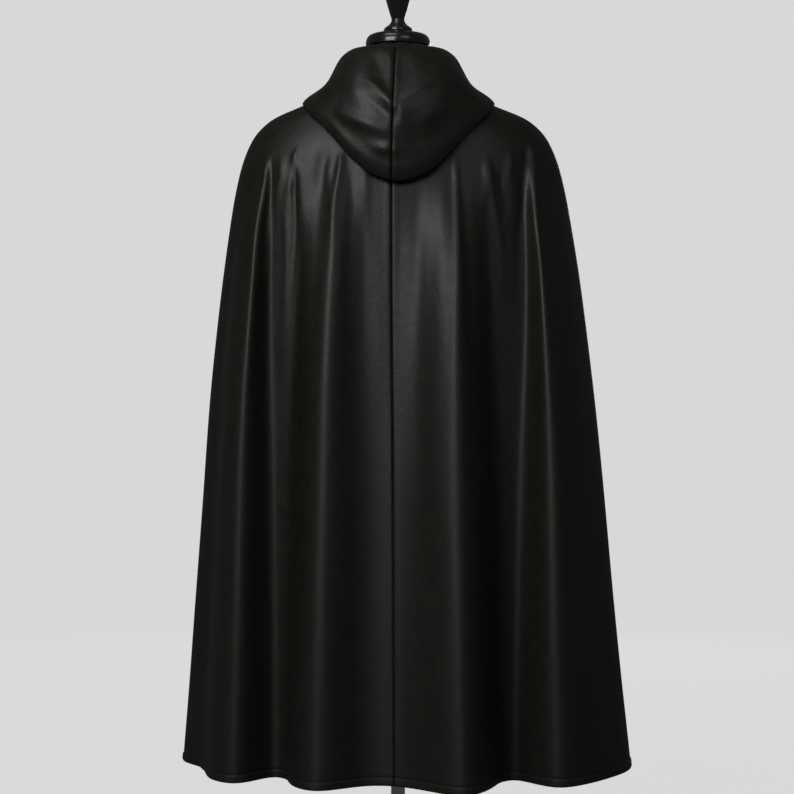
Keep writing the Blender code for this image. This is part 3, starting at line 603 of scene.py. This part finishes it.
def hood_section(angle):
    """The hood's section: from the face edge down the outer layer, round the fold, up the under layer."""
    mirrored = [row._replace(angle=-row.angle) for row in STATIONS[:0:-1]] + STATIONS
    at = [row.angle for row in mirrored]
    size = Station(angle, *(float(smooth_curve(at, [getattr(row, key) for row in mirrored], angle))
                            for key in Station._fields[1:]))
    fold_drop = drop_at_height(angle, size.fold_z)
    seat, normal, down = cloth_place(angle, fold_drop)
    under = seat + normal * HOOD_LIFT
    outer = under + normal * size.bag - down * (size.bag * OUTER_UP)
    tip = under + normal * (size.bag * TIP_OUT) + down * (size.bag * TIP_DOWN)
    x, y, _ = oval(angle, *(size.rim_reach,) * 4)
    rim = np.array([float(x), float(y), size.rim_z])
    inward = np.array([-x, -y, 0]) / np.hypot(x, y)
    out = np.cross(outer - rim, [y, -x, 0])
    out = out / np.linalg.norm(out)
    out = out if out @ normal > 0 else -out
    belly = outer + (rim - outer) * BELLY_AT + out * size.belly
    neck = outer + (rim - outer) * NECK_AT + out * size.neck
    edge = rim + inward * HOOD_TURN_IN - np.array([0, 0, HOOD_TURN_DOWN])
    section = list(along_points([edge, rim, neck, belly, outer, tip, under], OUTER_SHARES))
    for share in UNDER_SHARES:
        point, normal, _ = cloth_place(angle, fold_drop * share)
        section.append(point + normal * (LAY_GAP + (HOOD_LIFT - LAY_GAP) * min(share * 4, 1)))
    return section


def hood_surface(side):
    """The grid of one half of the hood; side is 1 for the wearer's left."""
    beside_seam = [BACK_SEAM + side * offset for offset in (0.0, 0.3, 0.65, 1.1, 1.7, 2.5, 3.5)]
    angles = beside_seam + [side * a for a in np.linspace(6.5, HOOD_EDGE, 84)]
    ghost = [BACK_SEAM - side * GHOST_STEP]
    grid = np.array([hood_section(a) for a in ghost + angles]).transpose(1, 0, 2)
    grid = grid if side > 0 else grid[:, ::-1]
    normals = outward(grid)
    grid, normals = (grid[:, 1:], normals[:, 1:]) if side > 0 else (grid[:, :-1], normals[:, :-1])
    x, z = grid[..., 0], grid[..., 2]
    height = hood_fold_height(x, z)
    uneven = [noise.noise(Vector(place)) for place in (grid / HOOD_SLACK_SIZE).reshape(-1, 3)]
    height += HOOD_SLACK * np.reshape(uneven, x.shape)
    shares = np.concatenate([OUTER_SHARES, np.full(len(UNDER_SHARES), 2.0)])[:, None]
    height *= ramp(shares, RIM_SHARE, 0.2) * (1 - ramp(shares, 0.74, 0.88)) * np.where(grid[..., 1] > 0, 1, 0.5)
    from_first, from_last = from_edge(grid)
    from_seam = from_first if side > 0 else from_last
    height += sewn_edge(from_seam) * (shares < 1.5)
    grid = grid + normals * height[..., None]
    seam_column, inner_column = (0, 1) if side > 0 else (-1, -2)
    gap = grid[:, inner_column] - grid[:, seam_column]
    grid[:, seam_column] -= SEAM_PRESS * gap / np.linalg.norm(gap, axis=-1, keepdims=True)
    return grid


for name, node, side, area in (("hood_half_left", "hood_left", 1, 0.120),
                               ("hood_half_right", "hood_right", -1, 0.128)):
    piece = cloth_piece(name, hood_surface(side), cowhide, "black_leather", node)


# The neck tab: a short strap of the same leather over both front edges, shut with a black press stud at
# each end. It is what keeps the fronts together; its edges are skived round and burnished.

TAB_Z, TAB_HALF_LENGTH, TAB_HALF_WIDTH, TAB_THICK = 1.345, 0.034, 0.011, 0.0022
STUD_X, STUD_R, STUD_HIGH, STUD_SKIRT = 0.022, 0.0065, 0.0035, 0.0012


def front_place(x, z):
    """The place on the front panels at x and z, and the normal there."""
    angles = np.sign(x or 1.0) * np.linspace(120, FRONT_EDGE, 200)
    places = np.array([folded_cloth(a, drop_at_height(a, z)) for a in angles[::8]])
    angle = float(np.interp(-abs(x), -np.abs(places[:, 0]), np.abs(angles[::8]))) * np.sign(x or 1.0)
    point, normal, _ = cloth_place(angle, drop_at_height(angle, z))
    return np.array([x, point[1], z]), normal


TAB_COLUMNS, TAB_ROWS = 40, 12
xs = np.linspace(-TAB_HALF_LENGTH, TAB_HALF_LENGTH, TAB_COLUMNS + 1)
chest_line = [front_place(x, TAB_Z) for x in xs]
tab_grid = np.zeros((TAB_ROWS + 1, TAB_COLUMNS + 1, 3))
for i, (x, (place, normal)) in enumerate(zip(xs, chest_line)):
    past = max(abs(x) - TAB_HALF_LENGTH + TAB_HALF_WIDTH, 0.0) / TAB_HALF_WIDTH
    half_width = TAB_HALF_WIDTH * max((1 - past * past) ** 0.5, 0.12)
    downhill = np.array([0, -normal[2], -abs(normal[1])]) / hypot(normal[1], normal[2])
    for j in range(TAB_ROWS + 1):
        across = 2 * j / TAB_ROWS - 1
        crown = TAB_THICK - 0.0007 * across ** 6
        tab_grid[j, i] = place + normal * (LAY_GAP + crown) + downhill * half_width * across
tab = cloth_piece("neck_strap", tab_grid[:, ::-1], cowhide, "black_leather", "neck_tab")
tab.modifiers["leather"].thickness = TAB_THICK

enamel, enamel_shader = new_material("black_enamelled_brass", "#151515", 0.22)
enamel_shader.inputs["Coat Weight"].default_value = 0.5
place = add_node(enamel, "ShaderNodeTexCoord", {})
handling = add_node(enamel, "ShaderNodeTexNoise", {"Vector": place.outputs["Object"], "Scale": 500.0})
rub = add_node(enamel, "ShaderNodeMapRange", {"Value": handling.outputs["Fac"], "To Min": 0.16, "To Max": 0.34})
enamel.node_tree.links.new(rub.outputs["Result"], enamel_shader.inputs["Roughness"])
for name, node, x in (("press_stud_left", "stud_left", STUD_X), ("press_stud_right", "stud_right", -STUD_X)):
    centre, normal = front_place(x, TAB_Z)
    seat = Vector(centre + normal * (LAY_GAP + TAB_THICK + 0.0003))
    arc = [pi / 2 * step / 12 for step in range(1, 13)]
    dome = [(STUD_R * sin(a), STUD_SKIRT + (STUD_HIGH - STUD_SKIRT) * cos(a)) for a in arc]
    profile = [(0.0003, STUD_HIGH), *dome, (STUD_R, 0.0)]
    stud = turned(name, profile, enamel, "black_metal", node, points=40, sides=48)
    turn = Vector(normal).to_track_quat("Z", "Y").to_matrix().to_4x4()
    stud.data.transform(turn)
    stud.data.transform(turn.Translation(seat))


# The sewing thread of the hem: waxed black polyester. It holds the turned edge with a row of lock stitches
# 3.4 mm long, pulled down until they sit in the leather.

THREAD_R = 0.00032
STITCH, STITCH_GAP = 0.0034, 0.0012
thread, thread_shader = new_material("waxed_black_thread", "#26251f", 0.5)
place = add_node(thread, "ShaderNodeTexCoord", {})
twist = add_node(thread, "ShaderNodeTexNoise", {"Vector": place.outputs["Object"], "Scale": 1500.0})
twist_bump = add_node(thread, "ShaderNodeBump", {"Height": twist.outputs["Fac"], "Strength": 0.3,
                                                 "Distance": 0.0001})
thread.node_tree.links.new(twist_bump.outputs["Normal"], thread_shader.inputs["Normal"])

stitching = bmesh.new()


def sew(line, normals):
    """Lays stitches along a line of points on the leather."""
    lengths = np.concatenate([[0.0], np.cumsum(np.linalg.norm(np.diff(line, axis=0), axis=1))])
    for start in np.arange(0.004, lengths[-1] - STITCH - 0.004, STITCH + STITCH_GAP):
        ends = [Vector([np.interp(at, lengths, line[:, axis]) for axis in range(3)])
                for at in (start, start + STITCH)]
        normal = Vector([np.interp(start, lengths, normals[:, axis]) for axis in range(3)]).normalized()
        along = (ends[1] - ends[0]).normalized()
        made = bmesh.ops.create_uvsphere(stitching, u_segments=6, v_segments=4, radius=1.0)["verts"]
        side = along.cross(normal)
        centre = (ends[0] + ends[1]) / 2 + normal * THREAD_R * 0.35
        for vert in made:
            x, y, z = vert.co
            vert.co = centre + along * (z * STITCH / 2) + side * (x * THREAD_R) + normal * (y * THREAD_R)


for panel in PANELS:
    grid = panel_grids[panel.name]
    normals = outward(grid)
    hem_row = len(grid) - 1 - HEM_OFFSETS.index(HEM_STITCH_LINE)
    sew(grid[hem_row], normals[hem_row])
bmesh.ops.recalc_face_normals(stitching, faces=stitching.faces)
finish_piece("hem_stitches", stitching, thread, "black_leather")


# The studio: a pale seamless floor that curves up into a wall all round, a large soft light high on the
# camera's left, one overhead, a dim one on its right, and one for the other side.

STAGE_R, STAGE_CURVE, STAGE_HEIGHT = 9.0, 2.5, 9.0
paper, paper_shader = new_material("pale_studio_paper", "#4a4a4a", 1.0)
paper_shader.inputs["Specular IOR Level"].default_value = 0.0
paper_shader.inputs["Emission Color"].default_value = linear("#d9d9d9")
paper_shader.inputs["Emission Strength"].default_value = 0.98
bowl = bmesh.new()
corner = [(STAGE_R - STAGE_CURVE + STAGE_CURVE * sin(a), STAGE_CURVE - STAGE_CURVE * cos(a))
          for a in np.linspace(0, pi / 2, 12)]
verts = [bowl.verts.new((radius, 0.0, z)) for radius, z in [(0.0, 0.0), *corner, (STAGE_R, STAGE_HEIGHT)]]
edges = [bowl.edges.new(pair) for pair in zip(verts, verts[1:])]
bmesh.ops.spin(bowl, geom=verts + edges, axis=(0, 0, 1), angle=2 * pi, steps=96, use_merge=True)
bmesh.ops.remove_doubles(bowl, verts=bowl.verts, dist=1e-6)
bmesh.ops.recalc_face_normals(bowl, faces=bowl.faces)
stage_mesh = bpy.data.meshes.new("studio_paper")
bowl.to_mesh(stage_mesh)
bowl.free()
stage_mesh.shade_smooth()
stage_mesh.materials.append(paper)
stage = bpy.data.objects.new("studio_paper", stage_mesh)
bpy.context.scene.collection.objects.link(stage)
stage.visible_glossy = stage.visible_diffuse = False

Light = namedtuple("Light", "name place target width height power")
LIGHTS = [
    Light("key", (1.50, 2.85, 2.75), (0.0, 0.1, 1.20), 2.0, 1.6, 45),
    Light("overhead", (0.80, 0.9, 3.6), (0.0, 0.1, 1.40), 1.4, 1.0, 7),
    Light("fill", (-1.5, 2.9, 3.2), (0.0, 0.1, 1.1), 1.6, 1.6, 5.5),
    Light("far_side", (-0.6, -4.2, 1.5), (0.0, -0.1, 0.9), 1.8, 1.4, 26),
]
for light in LIGHTS:
    lamp = bpy.data.lights.new(light.name, "AREA")
    lamp.shape = "RECTANGLE"
    lamp.size, lamp.size_y, lamp.energy = light.width, light.height, light.power
    holder = bpy.data.objects.new(light.name, lamp)
    holder.location = light.place
    holder.visible_camera = False
    holder.rotation_euler = (Vector(light.target) - Vector(light.place)).to_track_quat("-Z", "Y").to_euler()
    bpy.context.scene.collection.objects.link(holder)

room = bpy.data.worlds.new("studio_room")
room.use_nodes = True
room.node_tree.nodes["Background"].inputs["Color"].default_value = linear("#ffffff")
room.node_tree.nodes["Background"].inputs["Strength"].default_value = 0.062
bpy.context.scene.world = room
bpy.context.scene.view_settings.view_transform = "Standard"

# The camera stands level, 4 m behind the form at the height of its hips. The form's axis is 1 px right of
# the middle of a 794 px frame, where 1.8 mm is 1 px.
FRAME_PX = 794
METRES_PER_PX = 0.0018
camera = bpy.data.objects.new("camera", bpy.data.cameras.new("camera"))
camera.location = (0.0, 4.0, 0.875)
camera.rotation_euler = (pi / 2, 0.0, pi)
camera.data.sensor_width = 36.0
camera.data.lens = 36.0 * 4.0 / (METRES_PER_PX * FRAME_PX)
camera.data.shift_x = -1 / FRAME_PX
bpy.context.scene.collection.objects.link(camera)
bpy.context.scene.camera = camera
